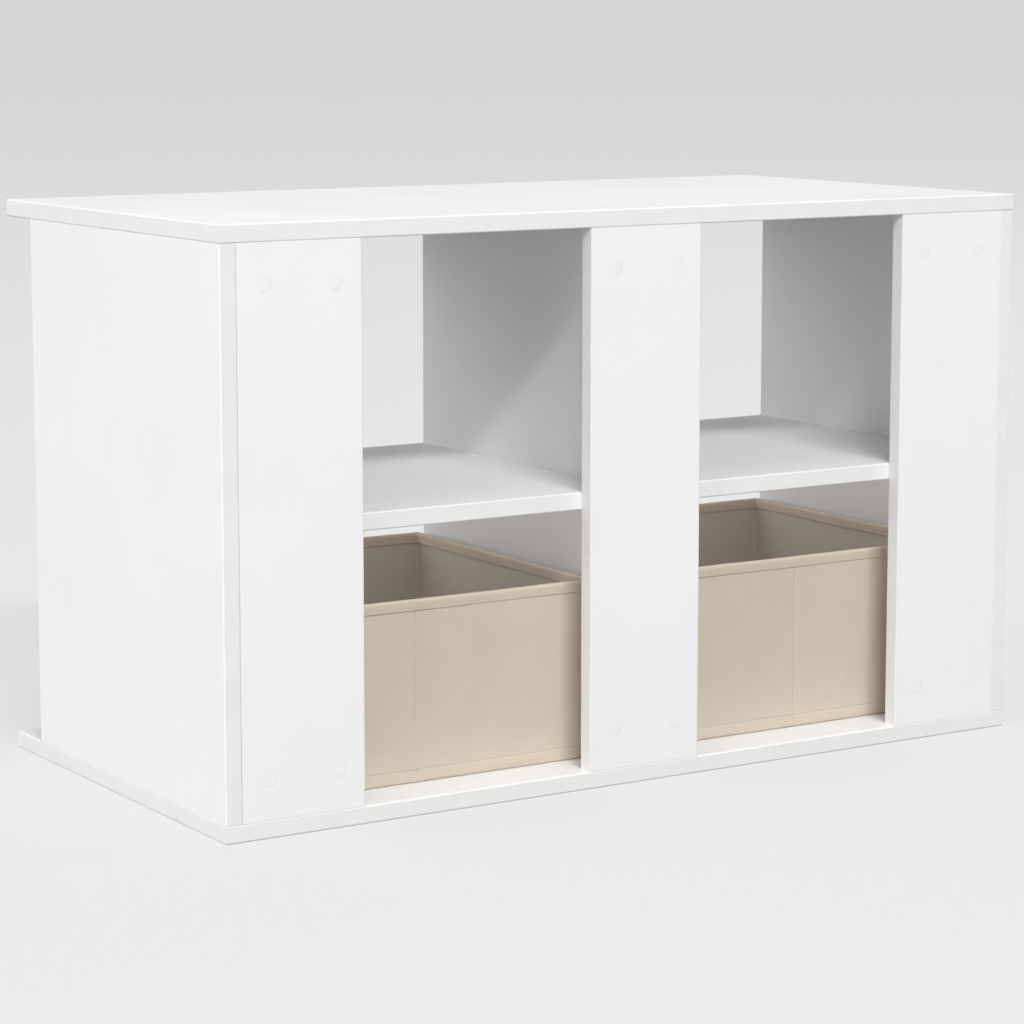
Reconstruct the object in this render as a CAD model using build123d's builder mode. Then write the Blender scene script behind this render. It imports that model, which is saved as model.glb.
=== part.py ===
from build123d import *

import os
from collections import defaultdict

# A low cabinet that an aquarium stands on. Top and bottom panels, two sides, a divider and two
# shelves stand behind three broad front posts; the back is open, and a fabric basket lies in
# each lower bay. The boards are held by cams, bolts and dowels, and their edges are banded.
#
# Frame: origin on the floor under the middle of the panels, +X to the right, the front faces
# -Y, +Z is up. Millimetres.

# ---------------------------------------------------------------- driving dimensions

WIDTH = 810                 # top and bottom panels, left to right
DEPTH = 410                 # top and bottom panels, front to back
HEIGHT = 495                # floor to the top panel's upper face
BOARD = 15                  # thickness of every board
REAR_OVERHANG = 50          # sides, divider and shelves stop this far short of the panels' backs
POST_WIDTH = 113            # each of the three front posts
LOWER_BAY_HEIGHT = 225      # clear height between the bottom panel and a shelf

BAND = 1.5                  # plastic band glued on every edge that shows
EDGE_RADIUS = 1.3           # rounding of a band's two long outer corners
BAND_SEAM = 0.05            # hairline where one band butts against the next

CAM_DIAMETER = 12
CAM_DISTANCE = 34           # joint to the cam's centre, along the bolt
CAM_FLOOR = 2.5             # board left under a cam's bore
CAM_RADIAL_CLEARANCE = 0.1
CAM_END_CLEARANCE = 0.2
CROSS_LENGTH = 6            # screwdriver recess in the cam's face
CROSS_WIDTH = 1.4
CROSS_DEPTH = 1.5
CAP_THICKNESS = 1.0         # cover cap, flush with the board's face
CAP_RADIAL_CLEARANCE = 0.05
CAP_RIM_RADIUS = 0.35
CAP_PEG_LENGTH = 1.0        # peg that holds the cap in the screwdriver recess
CAP_PEG_DIAMETER = 1.2

BOLT_THREAD_DIAMETER = 6
BOLT_THREAD_LENGTH = 11
BOLT_COLLAR_DIAMETER = 6.8
BOLT_COLLAR_LENGTH = 1.2
BOLT_SHANK_DIAMETER = 5
BOLT_NECK_DIAMETER = 3.2
BOLT_NECK_LENGTH = 4
BOLT_HEAD_DIAMETER = 6
BOLT_HEAD_LENGTH = 4
BOLT_CHAMFER = 0.5
BOLT_RADIAL_CLEARANCE = 0.1
HEAD_RADIAL_CLEARANCE = 0.2
EDGE_BORE_DIAMETER = 7.2    # bore in a board's edge that a bolt passes down

DOWEL_DIAMETER = 8
DOWEL_IN_EDGE = 20          # part of a dowel in the edge of one board
DOWEL_IN_FACE = 10          # part of it in the face of the other
DOWEL_CHAMFER = 0.8
DOWEL_RADIAL_CLEARANCE = 0.05
BORE_END_CLEARANCE = 0.5    # room at the bottom of a bolt's or a dowel's bore

POST_CAM_SPACING = 64       # between the two cams at one end of a post
SIDE_CAM_INSET = 50         # cams of sides, divider and shelves, from the sides' two ends
DOWEL_FROM_CAM = 32         # dowels of sides and divider, inwards from their cams
SHELF_DOWEL_STAGGER = 32    # keeps the two shelves' dowels apart in the divider
POST_DOWEL_INSET = 110      # dowels in a post's long edge or back, from the post's two ends

BASKET_SIDE_GAP = 9.25      # room beside a basket that lies in the middle of its bay
BASKET_SHIFT = -2           # where the basket lies, from the middle of its bay
BASKET_SETBACK = 30.5       # from the back of the posts to the basket
BASKET_BACK_INSET = 10.5    # from the basket to the back edge of the sides
BASKET_HEADROOM = 68        # from the basket's rim to the shelf above it
BASKET_LIFT = 0.3           # under the basket, so that it slides clear of the panel
BASKET_CORNER_RADIUS = 2.5
BINDING = 1.0               # cloth folded over the rim
BINDING_WIDTH = 9.2
COVER = 1.0                 # outer cloth
STIFFENER = 2.0             # board inside each wall
LINING = 1.0                # inner cloth
BASE_BOARD = 3.0            # loose board on the basket's floor
BASE_GAP = 1.0              # room around the base board

# ---------------------------------------------------------------- lines worked out from them

RIGHT = WIDTH / 2
LEFT = -RIGHT
FRONT = -DEPTH / 2
BACK = DEPTH / 2
HALF_BOARD = BOARD / 2
SIDE_INNER = RIGHT - BOARD
POST_INNER = SIDE_INNER - POST_WIDTH
POST_MIDDLE = SIDE_INNER - POST_WIDTH / 2
POST_BACK = FRONT + BOARD
SIDE_BACK = BACK - REAR_OVERHANG
FLOOR_TOP = BOARD
TOP_UNDERSIDE = HEIGHT - BOARD
SHELF_BOTTOM = FLOOR_TOP + LOWER_BAY_HEIGHT
SHELF_TOP = SHELF_BOTTOM + BOARD
SHELF_MIDDLE = SHELF_BOTTOM + HALF_BOARD

CAM_BORE_DEPTH = BOARD - CAM_FLOOR
CAM_LENGTH = CAM_BORE_DEPTH - CAP_THICKNESS - 2 * CAM_END_CLEARANCE
CAM_FACE_DEPTH = CAP_THICKNESS + CAM_END_CLEARANCE
CAM_ROWS = (FRONT + SIDE_CAM_INSET, SIDE_BACK - SIDE_CAM_INSET)
DOWEL_ROWS = (CAM_ROWS[0] + DOWEL_FROM_CAM, CAM_ROWS[1] - DOWEL_FROM_CAM)
SHELF_DOWEL_ROW = sum(CAM_ROWS) / 2
POST_DOWEL_LEVELS = (FLOOR_TOP + POST_DOWEL_INSET, TOP_UNDERSIDE - POST_DOWEL_INSET)

UP = Vector(0, 0, 1)
FORWARD = Vector(0, -1, 0)
RIGHTWARD = Vector(1, 0, 0)

# The side of a board, as the axis it lies on and which end of that axis it is
SIDES = {"left": (0, -1), "right": (0, 1), "front": (1, -1), "back": (1, 1)}
ALL_ROUND = ("front", "back", "left", "right")
FRONT_AND_BACK = ("front", "back")

# Each board's lowest and highest corners over its bands, and its banded sides
BOARDS = {
    "bottom_panel": ((LEFT, FRONT, 0), (RIGHT, BACK, FLOOR_TOP), ALL_ROUND),
    "top_panel": ((LEFT, FRONT, TOP_UNDERSIDE), (RIGHT, BACK, HEIGHT), ALL_ROUND),
    "left_side_panel": (
        (LEFT, FRONT, FLOOR_TOP), (-SIDE_INNER, SIDE_BACK, TOP_UNDERSIDE), FRONT_AND_BACK,
    ),
    "right_side_panel": (
        (SIDE_INNER, FRONT, FLOOR_TOP), (RIGHT, SIDE_BACK, TOP_UNDERSIDE), FRONT_AND_BACK,
    ),
    "centre_divider": (
        (-HALF_BOARD, POST_BACK, FLOOR_TOP), (HALF_BOARD, SIDE_BACK, TOP_UNDERSIDE), ("back",),
    ),
    "left_shelf": (
        (-SIDE_INNER, POST_BACK, SHELF_BOTTOM), (-HALF_BOARD, SIDE_BACK, SHELF_TOP), FRONT_AND_BACK,
    ),
    "right_shelf": (
        (HALF_BOARD, POST_BACK, SHELF_BOTTOM), (SIDE_INNER, SIDE_BACK, SHELF_TOP), FRONT_AND_BACK,
    ),
    "left_front_post": (
        (-SIDE_INNER, FRONT, FLOOR_TOP), (-POST_INNER, POST_BACK, TOP_UNDERSIDE), ("right",),
    ),
    "centre_front_post": (
        (-POST_WIDTH / 2, FRONT, FLOOR_TOP), (POST_WIDTH / 2, POST_BACK, TOP_UNDERSIDE),
        ("left", "right"),
    ),
    "right_front_post": (
        (POST_INNER, FRONT, FLOOR_TOP), (SIDE_INNER, POST_BACK, TOP_UNDERSIDE), ("left",),
    ),
}
POST_CENTRES = {
    "left_front_post": -POST_MIDDLE, "centre_front_post": 0, "right_front_post": POST_MIDDLE,
}

# ---------------------------------------------------------------- where the fixings go

bores = defaultdict(list)   # board: (plane of the bored face, radius, depth)
cam_planes = []             # on each cam's face, X along the bolt and into the board
cap_planes = []             # on the board's face, over each cam
bolt_planes = []            # on the joint, Z towards the cam
double_bolt_planes = []     # in the middle of the divider, Z towards one of the two cams
dowel_planes = []           # on the joint, Z into the board that is bored in its edge


def bore(board, at, outward, diameter, depth):
    bores[board].append((Plane(origin=at, z_dir=outward), diameter / 2, depth))


def seat_cam(board, joint, into, face):
    """A cam put in from one face of a board, and the bore down to it from the joint."""
    centre = joint + into * CAM_DISTANCE + face * HALF_BOARD
    over_cam = Plane(origin=centre, x_dir=into, z_dir=face)
    bore(board, centre, face, CAM_DIAMETER + 2 * CAM_RADIAL_CLEARANCE, CAM_BORE_DEPTH)
    bore(board, joint, -into, EDGE_BORE_DIAMETER, CAM_DISTANCE)
    cam_planes.append(over_cam.offset(-CAM_FACE_DEPTH))
    cap_planes.append(over_cam)


def cam_joint(cam_board, bolt_board, joint, into, face):
    """A cam in one board that pulls on a bolt screwed into the face of another."""
    seat_cam(cam_board, joint, into, face)
    thread_bore = BOLT_THREAD_DIAMETER + 2 * BOLT_RADIAL_CLEARANCE
    bore(bolt_board, joint, into, thread_bore, BOLT_THREAD_LENGTH + BORE_END_CLEARANCE)
    bolt_planes.append(Plane(origin=joint, z_dir=into))


def dowel_joint(edge_board, face_board, joint, into):
    """A dowel in the edge of one board and the face of another."""
    diameter = DOWEL_DIAMETER + 2 * DOWEL_RADIAL_CLEARANCE
    bore(edge_board, joint, -into, diameter, DOWEL_IN_EDGE + BORE_END_CLEARANCE)
    bore(face_board, joint, into, diameter, DOWEL_IN_FACE + BORE_END_CLEARANCE)
    dowel_planes.append(Plane(origin=joint, z_dir=into))


def place_end_fixings():
    """The fixings of every upright board to the top and bottom panels."""
    for panel, level, into in (("bottom_panel", FLOOR_TOP, UP), ("top_panel", TOP_UNDERSIDE, -UP)):
        for post, middle in POST_CENTRES.items():
            axis = Vector(middle, FRONT + HALF_BOARD, level)
            for step in (-POST_CAM_SPACING / 2, POST_CAM_SPACING / 2):
                cam_joint(post, panel, axis + RIGHTWARD * step, into, FORWARD)
            dowel_joint(post, panel, axis, into)
        for upright, middle, face in (
            ("left_side_panel", LEFT + HALF_BOARD, RIGHTWARD),
            ("centre_divider", 0, RIGHTWARD),
            ("right_side_panel", RIGHT - HALF_BOARD, -RIGHTWARD),
        ):
            for row in CAM_ROWS:
                cam_joint(upright, panel, Vector(middle, row, level), into, face)
            for row in DOWEL_ROWS:
                dowel_joint(upright, panel, Vector(middle, row, level), into)


def place_shelf_fixings():
    """The shelves' cams lie in their undersides; one bolt through the divider serves both."""
    for shelf, side, outwards in (
        ("left_shelf", "left_side_panel", -RIGHTWARD),
        ("right_shelf", "right_side_panel", RIGHTWARD),
    ):
        for row in CAM_ROWS:
            outer = Vector(outwards.X * SIDE_INNER, row, SHELF_MIDDLE)
            inner = Vector(outwards.X * HALF_BOARD, row, SHELF_MIDDLE)
            cam_joint(shelf, side, outer, -outwards, -UP)
            seat_cam(shelf, inner, outwards, -UP)
        stagger = outwards.X * SHELF_DOWEL_STAGGER
        outer = Vector(outwards.X * SIDE_INNER, SHELF_DOWEL_ROW - stagger, SHELF_MIDDLE)
        inner = Vector(outwards.X * HALF_BOARD, SHELF_DOWEL_ROW + stagger, SHELF_MIDDLE)
        dowel_joint(shelf, side, outer, -outwards)
        dowel_joint(shelf, "centre_divider", inner, outwards)
    for row in CAM_ROWS:
        face = Vector(HALF_BOARD, row, SHELF_MIDDLE)
        diameter = BOLT_THREAD_DIAMETER + 2 * BOLT_RADIAL_CLEARANCE
        bore("centre_divider", face, RIGHTWARD, diameter, BOARD)
        double_bolt_planes.append(Plane(origin=(0, row, SHELF_MIDDLE), z_dir=RIGHTWARD))


def place_post_fixings():
    """Dowels that hold the posts in line with the sides and the divider."""
    for level in POST_DOWEL_LEVELS:
        middle = FRONT + HALF_BOARD
        left_joint = Vector(-SIDE_INNER, middle, level)
        right_joint = Vector(SIDE_INNER, middle, level)
        dowel_joint("left_front_post", "left_side_panel", left_joint, RIGHTWARD)
        dowel_joint("right_front_post", "right_side_panel", right_joint, -RIGHTWARD)
        dowel_joint("centre_divider", "centre_front_post", Vector(0, POST_BACK, level), -FORWARD)


# ---------------------------------------------------------------- boards and bands


def export(piece, label):
    piece.part.label = label
    export_step(piece.part, f"parts/{label}.step")


def peel_bands(low, high, banded):
    """The core that is left when each banded side loses its band, and the bands' own boxes."""
    low, high = list(low), list(high)
    strips = []
    for side in banded:
        axis, end = SIDES[side]
        strip_low, strip_high = list(low), list(high)
        if end > 0:
            high[axis] -= BAND
            strip_low[axis] = high[axis]
        else:
            low[axis] += BAND
            strip_high[axis] = low[axis]
        strips.append((axis, end, strip_low, strip_high))
    return low, high, strips


def make_board(label, low, high):
    with BuildPart() as board:
        with BuildSketch(Plane.XY.offset(low[2])):
            with Locations(((low[0] + high[0]) / 2, (low[1] + high[1]) / 2)):
                Rectangle(high[0] - low[0], high[1] - low[1])
        extrude(amount=high[2] - low[2])
        for plane, radius, depth in bores[label]:
            with BuildSketch(plane):
                Circle(radius)
            extrude(amount=-depth, mode=Mode.SUBTRACT)
    export(board, label)


def strip_plane(axis, end, low, high):
    """Plane across a strip at its lower end, X pointing out of the board; and the length."""
    sizes = [top - bottom for bottom, top in zip(low, high)]
    lengthwise = sizes.index(max(sizes))
    origin = [(bottom + top) / 2 for bottom, top in zip(low, high)]
    origin[axis] = low[axis] if end > 0 else high[axis]
    origin[lengthwise] = low[lengthwise] + BAND_SEAM
    outward = [0, 0, 0]
    outward[axis] = end
    along = [0, 0, 0]
    along[lengthwise] = 1
    plane = Plane(origin=tuple(origin), x_dir=tuple(outward), z_dir=tuple(along))
    return plane, sizes[lengthwise] - 2 * BAND_SEAM


def make_edging(label, strips):
    with BuildPart() as edging:
        for strip in strips:
            plane, length = strip_plane(*strip)
            with BuildSketch(plane) as profile:
                with Locations((BAND / 2, 0)):
                    Rectangle(BAND, BOARD)
                fillet(profile.vertices().group_by(Axis.X)[-1], EDGE_RADIUS)
            extrude(amount=length)
    export(edging, label)


def make_boards():
    for label, (outer_low, outer_high, banded) in BOARDS.items():
        low, high, strips = peel_bands(outer_low, outer_high, banded)
        make_board(label, low, high)
        make_edging(f"{label}_edging", strips)


# ---------------------------------------------------------------- fixings


def make_cam_locks():
    """Cams with a screwdriver recess and a jaw that takes the bolt's head from one side."""
    jaw_radius = BOLT_HEAD_DIAMETER / 2 + HEAD_RADIAL_CLEARANCE
    jaw_depth = HALF_BOARD - CAM_FACE_DEPTH
    jaw_end = BOLT_HEAD_LENGTH / 2 + HEAD_RADIAL_CLEARANCE
    with BuildPart() as cam:
        with BuildSketch():
            Circle(CAM_DIAMETER / 2)
        extrude(amount=-CAM_LENGTH)
        with BuildSketch():
            Rectangle(CROSS_LENGTH, CROSS_WIDTH)
            Rectangle(CROSS_WIDTH, CROSS_LENGTH)
        extrude(amount=-CROSS_DEPTH, mode=Mode.SUBTRACT)
        with BuildSketch(Plane(origin=(jaw_end, 0, -jaw_depth), z_dir=(-1, 0, 0))):
            Circle(jaw_radius)
        extrude(amount=CAM_DIAMETER, mode=Mode.SUBTRACT)
    with BuildPart() as cam_locks:
        with Locations(*cam_planes):
            add(cam.part)
    export(cam_locks, "cam_locks")


def make_cover_caps():
    """Flush caps, each with a peg in the cam's screwdriver recess."""
    with BuildPart() as cap:
        with BuildSketch():
            Circle(CAM_DIAMETER / 2 + CAM_RADIAL_CLEARANCE - CAP_RADIAL_CLEARANCE)
        extrude(amount=-CAP_THICKNESS)
        fillet(cap.faces().sort_by(Axis.Z)[-1].edges(), CAP_RIM_RADIUS)
        with BuildSketch(Plane.XY.offset(-CAP_THICKNESS)):
            Circle(CAP_PEG_DIAMETER / 2)
        extrude(amount=-CAP_PEG_LENGTH)
    with BuildPart() as cover_caps:
        with Locations(*cap_planes):
            add(cap.part)
    export(cover_caps, "cam_cover_caps")


def bolt_half_outline(start):
    """Radius and height, from the joint's plane at start to the head's end: half of a bolt."""
    head_end = start + CAM_DISTANCE + BOLT_HEAD_LENGTH / 2
    head_start = head_end - BOLT_HEAD_LENGTH
    neck_start = head_start - BOLT_NECK_LENGTH
    collar_end = start + BOLT_COLLAR_LENGTH
    return [
        (BOLT_THREAD_DIAMETER / 2, start),
        (BOLT_COLLAR_DIAMETER / 2, start),
        (BOLT_COLLAR_DIAMETER / 2, collar_end),
        (BOLT_SHANK_DIAMETER / 2, collar_end),
        (BOLT_SHANK_DIAMETER / 2, neck_start),
        (BOLT_NECK_DIAMETER / 2, neck_start),
        (BOLT_NECK_DIAMETER / 2, head_start),
        (BOLT_HEAD_DIAMETER / 2, head_start),
        (BOLT_HEAD_DIAMETER / 2, head_end - BOLT_CHAMFER),
        (BOLT_HEAD_DIAMETER / 2 - BOLT_CHAMFER, head_end),
        (0, head_end),
    ]


def make_cam_bolts():
    thread_radius = BOLT_THREAD_DIAMETER / 2
    with BuildPart() as bolt:
        with BuildSketch(Plane.XZ):
            with BuildLine():
                Polyline(
                    (0, -BOLT_THREAD_LENGTH),
                    (thread_radius - BOLT_CHAMFER, -BOLT_THREAD_LENGTH),
                    (thread_radius, BOLT_CHAMFER - BOLT_THREAD_LENGTH),
                    *bolt_half_outline(0),
                    close=True,
                )
            make_face()
        revolve(axis=Axis.Z)
    with BuildPart() as cam_bolts:
        with Locations(*bolt_planes):
            add(bolt.part)
    export(cam_bolts, "cam_bolts")


def make_double_bolts():
    upper_half = bolt_half_outline(HALF_BOARD)
    lower_half = [(radius, -height) for radius, height in reversed(upper_half)]
    with BuildPart() as double_bolt:
        with BuildSketch(Plane.XZ):
            with BuildLine():
                Polyline(*lower_half, *upper_half, close=True)
            make_face()
        revolve(axis=Axis.Z)
    with BuildPart() as double_bolts:
        with Locations(*double_bolt_planes):
            add(double_bolt.part)
    export(double_bolts, "double_ended_cam_bolts")


def make_dowels():
    with BuildPart() as dowel:
        with BuildSketch(Plane.XY.offset(-DOWEL_IN_FACE)):
            Circle(DOWEL_DIAMETER / 2)
        extrude(amount=DOWEL_IN_FACE + DOWEL_IN_EDGE)
        chamfer(dowel.edges().filter_by(GeomType.CIRCLE), DOWEL_CHAMFER)
    with BuildPart() as dowels:
        with Locations(*dowel_planes):
            add(dowel.part)
    export(dowels, "wooden_dowels")


# ---------------------------------------------------------------- baskets

BAY_WIDTH = SIDE_INNER - HALF_BOARD
BAY_MIDDLE = (SIDE_INNER + HALF_BOARD) / 2
BASKET_WIDTH = BAY_WIDTH - 2 * BASKET_SIDE_GAP
BASKET_FRONT = POST_BACK + BASKET_SETBACK
BASKET_BACK = SIDE_BACK - BASKET_BACK_INSET
BASKET_DEPTH = BASKET_BACK - BASKET_FRONT
BASKET_BOTTOM = FLOOR_TOP + BASKET_LIFT
BASKET_TOP = SHELF_BOTTOM - BASKET_HEADROOM
WALL_TOP = BASKET_TOP - BINDING
CLOTH_FLOOR = BASKET_BOTTOM + COVER

# How far each layer of a wall lies inside the rim's outline, outermost first
COVER_INSET = BINDING
STIFFENER_INSET = COVER_INSET + COVER
LINING_INSET = STIFFENER_INSET + STIFFENER
LINING_INNER_INSET = LINING_INSET + LINING
BINDING_INNER_INSET = LINING_INNER_INSET + BINDING


def outline(inset, mode=Mode.ADD):
    width = BASKET_WIDTH - 2 * inset
    depth = BASKET_DEPTH - 2 * inset
    RectangleRounded(width, depth, BASKET_CORNER_RADIUS, mode=mode)


def ring(outer_inset, inner_inset):
    outline(outer_inset)
    outline(inner_inset, Mode.SUBTRACT)


def level_plane(middle, level):
    return Plane(origin=(middle[0], middle[1], level))


def make_cover(label, middle):
    with BuildPart() as cover:
        with BuildSketch(level_plane(middle, BASKET_BOTTOM)):
            outline(COVER_INSET)
        extrude(amount=COVER)
        with BuildSketch(level_plane(middle, CLOTH_FLOOR)):
            ring(COVER_INSET, STIFFENER_INSET)
        extrude(amount=WALL_TOP - CLOTH_FLOOR)
    export(cover, label)


def make_stiffeners(label, middle):
    """Four boards that stop short of the corners, so that the basket folds there."""
    straight_width = BASKET_WIDTH - 2 * (STIFFENER_INSET + BASKET_CORNER_RADIUS)
    straight_depth = BASKET_DEPTH - 2 * (STIFFENER_INSET + BASKET_CORNER_RADIUS)
    across = BASKET_WIDTH / 2 - STIFFENER_INSET - STIFFENER / 2
    along = BASKET_DEPTH / 2 - STIFFENER_INSET - STIFFENER / 2
    with BuildPart() as stiffeners:
        with BuildSketch(level_plane(middle, CLOTH_FLOOR)):
            with Locations((0, -along), (0, along)):
                Rectangle(straight_width, STIFFENER)
            with Locations((-across, 0), (across, 0)):
                Rectangle(STIFFENER, straight_depth)
        extrude(amount=WALL_TOP - CLOTH_FLOOR)
    export(stiffeners, label)


def make_lining(label, middle):
    with BuildPart() as lining:
        with BuildSketch(level_plane(middle, CLOTH_FLOOR)):
            ring(LINING_INSET, LINING_INNER_INSET)
        extrude(amount=WALL_TOP - CLOTH_FLOOR)
    export(lining, label)


def make_binding(label, middle):
    """One strip of cloth folded over the rim: down outside, across and down inside."""
    bottom = BASKET_TOP - BINDING_WIDTH
    with BuildPart() as binding:
        with BuildSketch(level_plane(middle, bottom)):
            ring(0, BINDING_INNER_INSET)
        extrude(amount=BINDING_WIDTH)
        with BuildSketch(level_plane(middle, bottom)):
            ring(COVER_INSET, LINING_INNER_INSET)
        extrude(amount=WALL_TOP - bottom, mode=Mode.SUBTRACT)
    export(binding, label)


def make_base_board(label, middle):
    with BuildPart() as base_board:
        with BuildSketch(level_plane(middle, CLOTH_FLOOR)):
            outline(LINING_INNER_INSET + BASE_GAP)
        extrude(amount=BASE_BOARD)
    export(base_board, label)


def make_baskets():
    for side, bay_middle in (("left", -BAY_MIDDLE), ("right", BAY_MIDDLE)):
        middle = (bay_middle + BASKET_SHIFT, (BASKET_FRONT + BASKET_BACK) / 2)
        make_cover(f"{side}_basket_cover", middle)
        make_stiffeners(f"{side}_basket_wall_boards", middle)
        make_lining(f"{side}_basket_lining", middle)
        make_binding(f"{side}_basket_rim_binding", middle)
        make_base_board(f"{side}_basket_base_board", middle)


os.makedirs("parts", exist_ok=True)
place_end_fixings()
place_shelf_fixings()
place_post_fixings()
make_boards()
make_cam_locks()
make_cover_caps()
make_cam_bolts()
make_double_bolts()
make_dowels()
make_baskets()
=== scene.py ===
import math

import bmesh
import bpy
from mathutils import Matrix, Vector, noise


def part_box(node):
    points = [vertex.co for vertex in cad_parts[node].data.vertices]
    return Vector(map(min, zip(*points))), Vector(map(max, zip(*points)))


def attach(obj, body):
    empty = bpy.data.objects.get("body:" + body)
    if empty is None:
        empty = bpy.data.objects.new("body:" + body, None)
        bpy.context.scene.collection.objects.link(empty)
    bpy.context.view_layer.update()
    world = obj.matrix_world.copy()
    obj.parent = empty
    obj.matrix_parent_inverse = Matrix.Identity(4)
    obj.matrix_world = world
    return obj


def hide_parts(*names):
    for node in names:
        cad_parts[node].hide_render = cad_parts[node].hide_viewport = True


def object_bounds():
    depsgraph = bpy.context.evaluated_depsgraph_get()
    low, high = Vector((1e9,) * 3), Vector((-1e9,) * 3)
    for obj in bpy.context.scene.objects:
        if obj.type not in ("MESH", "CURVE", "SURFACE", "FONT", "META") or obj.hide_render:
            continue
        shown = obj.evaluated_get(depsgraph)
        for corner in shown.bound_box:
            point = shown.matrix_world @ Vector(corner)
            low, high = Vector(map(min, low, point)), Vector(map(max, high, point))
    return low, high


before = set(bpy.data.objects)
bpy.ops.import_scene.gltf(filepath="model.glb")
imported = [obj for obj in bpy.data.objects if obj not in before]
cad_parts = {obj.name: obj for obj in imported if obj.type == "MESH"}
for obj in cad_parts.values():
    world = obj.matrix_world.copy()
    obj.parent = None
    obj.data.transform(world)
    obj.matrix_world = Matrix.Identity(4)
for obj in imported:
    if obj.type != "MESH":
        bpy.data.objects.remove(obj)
CAD_LOW, CAD_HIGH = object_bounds()
CENTRE = (CAD_LOW + CAD_HIGH) / 2
MM = 0.001

# ---------------------------------------------------------------- camera

CAMERA_AZIMUTH = math.radians(-32.32)   # from the left of the cabinet's front
CAMERA_PITCH = math.radians(7.97)       # looking down
CAMERA_DISTANCE = 2.85
CAMERA_LENS = 111.7
CAMERA_SHIFT = -0.05
CAMERA_SIGHT = 100.0                    # past the floor's far edge
AIM_OFFSET = Vector((-0.0225, -0.0265, 0.0126))    # what the camera points at, from the centre


def make_camera():
    data = bpy.data.cameras.new("camera")
    data.lens = CAMERA_LENS
    data.shift_y = CAMERA_SHIFT
    data.clip_end = CAMERA_SIGHT
    camera = bpy.data.objects.new("camera", data)
    bpy.context.scene.collection.objects.link(camera)
    forward = Vector((
        -math.sin(CAMERA_AZIMUTH) * math.cos(CAMERA_PITCH),
        math.cos(CAMERA_AZIMUTH) * math.cos(CAMERA_PITCH),
        -math.sin(CAMERA_PITCH),
    ))
    camera.location = CENTRE + AIM_OFFSET - forward * CAMERA_DISTANCE
    camera.rotation_euler = (math.pi / 2 - CAMERA_PITCH, 0, CAMERA_AZIMUTH)
    bpy.context.scene.camera = camera


# ---------------------------------------------------------------- shader building

WHITE = (1, 1, 1, 1)
NOISE_SPREAD = (0.3, 0.7)   # where nearly all of a noise's values lie
MIX_COLOURS = (6, 7)        # a mix node's two colour inputs
MIX_RESULT = 2              # and its colour output


class Nodes:
    """Short ways to add shader nodes to the tree of a material or of the world."""

    def __init__(self, tree):
        self.tree = tree

    def add(self, kind, output=0, links=(), values=(), **properties):
        """A node with those properties and inputs; returns one of its outputs."""
        node = self.tree.nodes.new("ShaderNode" + kind)
        for name, value in properties.items():
            setattr(node, name, value)
        for socket, value in dict(values).items():
            node.inputs[socket].default_value = value
        for socket, source in dict(links).items():
            self.tree.links.new(source, node.inputs[socket])
        return node.outputs[output]

    def math(self, operation, *terms):
        """A math node; each term is a number or another node's output."""
        links, values = {}, {}
        for socket, term in enumerate(terms):
            inputs = values if isinstance(term, (int, float)) else links
            inputs[socket] = term
        return self.add("Math", 0, links, values, operation=operation)

    def seen(self):
        """1 for what the camera sees directly, 0 for the light that falls on other things."""
        return self.add("LightPath", "Is Camera Ray")


class Shader(Nodes):
    """A new material with a Principled shader."""

    def __init__(self, name, **settings):
        self.material = bpy.data.materials.new(name)
        self.material.use_nodes = True
        super().__init__(self.material.node_tree)
        self.surface = self.tree.nodes["Principled BSDF"]
        self.coordinates = self.tree.nodes.new("ShaderNodeTexCoord")
        self.place = self.coordinates.outputs["Object"]
        for socket, value in settings.items():
            self.surface.inputs[socket.replace("_", " ")].default_value = value

    def stretch(self, scale, turn=(0, 0, 0)):
        values = {"Scale": scale, "Rotation": turn}
        return self.add("Mapping", 0, {"Vector": self.place}, values)

    def noise(self, scale, detail=2.0, roughness=0.5, place=None, distortion=0.0):
        values = {"Scale": scale, "Detail": detail, "Roughness": roughness, "Distortion": distortion}
        return self.add("TexNoise", "Fac", {"Vector": place or self.place}, values)

    def remap(self, value, to, spread=NOISE_SPREAD):
        """The value, with its spread brought to lie between the two ends of to."""
        ends = {"From Min": spread[0], "From Max": spread[1], "To Min": to[0], "To Max": to[1]}
        return self.add("MapRange", "Result", {"Value": value}, ends)

    def ramp(self, value, *stops):
        """A colour ramp through (position, colour) stops."""
        output = self.add("ValToRGB", "Color", {"Fac": value})
        elements = output.node.color_ramp.elements
        for index, (position, colour) in enumerate(stops):
            element = elements[index] if index < 2 else elements.new(position)
            element.position = position
            element.color = (*colour, 1)
        return output

    def tones(self, value, dark, light, spread=NOISE_SPREAD):
        """A colour ramp from dark to light over the value's spread."""
        return self.ramp(value, (spread[0], dark), (spread[1], light))

    def blend(self, first, share, second):
        """One noise laid over another: the first by its share and the second by the rest."""
        rest = self.math("MULTIPLY", second, 1 - share)
        return self.math("ADD", self.math("MULTIPLY", first, share), rest)

    def mix(self, share, first, second):
        """Second colour over first by share, a socket."""
        node = self.tree.nodes.new("ShaderNodeMix")
        node.data_type = "RGBA"
        self.tree.links.new(share, node.inputs["Factor"])
        for socket, colour in zip(MIX_COLOURS, (first, second)):
            if isinstance(colour, tuple):
                node.inputs[socket].default_value = (*colour, 1)
            else:
                self.tree.links.new(colour, node.inputs[socket])
        return node.outputs[MIX_RESULT]

    def bump(self, height, distance, strength, over=None):
        links = {"Height": height}
        if over is not None:
            links["Normal"] = over
        return self.add("Bump", "Normal", links, {"Distance": distance, "Strength": strength})

    def finish(self, colour, roughness, normal):
        for socket, source in (("Base Color", colour), ("Roughness", roughness), ("Normal", normal)):
            self.tree.links.new(source, self.surface.inputs[socket])
        return self.material


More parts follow.
